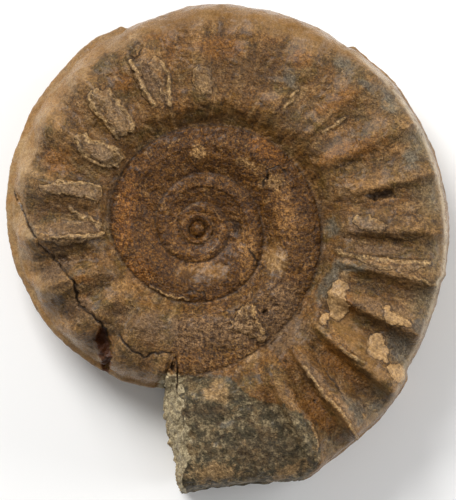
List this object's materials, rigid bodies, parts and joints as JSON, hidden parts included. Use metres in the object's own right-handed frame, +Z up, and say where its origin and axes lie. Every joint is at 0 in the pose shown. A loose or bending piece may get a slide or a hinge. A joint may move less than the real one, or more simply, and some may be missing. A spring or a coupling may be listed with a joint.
{
  "type": "fossil ammonite",
  "caption": "Fossil ammonite of the genus Arnioceras: a flat open coil with straight strong ribs and a low keel, worn and cracked, broken off at its mouth and lying on its flank.",
  "frame": {"origin": "on the surface that the fossil rests on, below the middle of its outline", "axes": "+Z is up, along the axis of the coil but for a tip of under two degrees; +Y runs along the longest side, from the broken mouth at the low Y end to the top of the coil; +X is to the right as seen from above"},
  "size_m": [0.0798, 0.0882, 0.0211],
  "materials": {
    "fossil_stone": "mottled brown limestone and calcite shell, glossy where the shell is kept, grey and dull at the broken mouth"
  },
  "bodies": {
    "root": {"ammonite": "fossil_stone"}
  },
  "joints": []
}
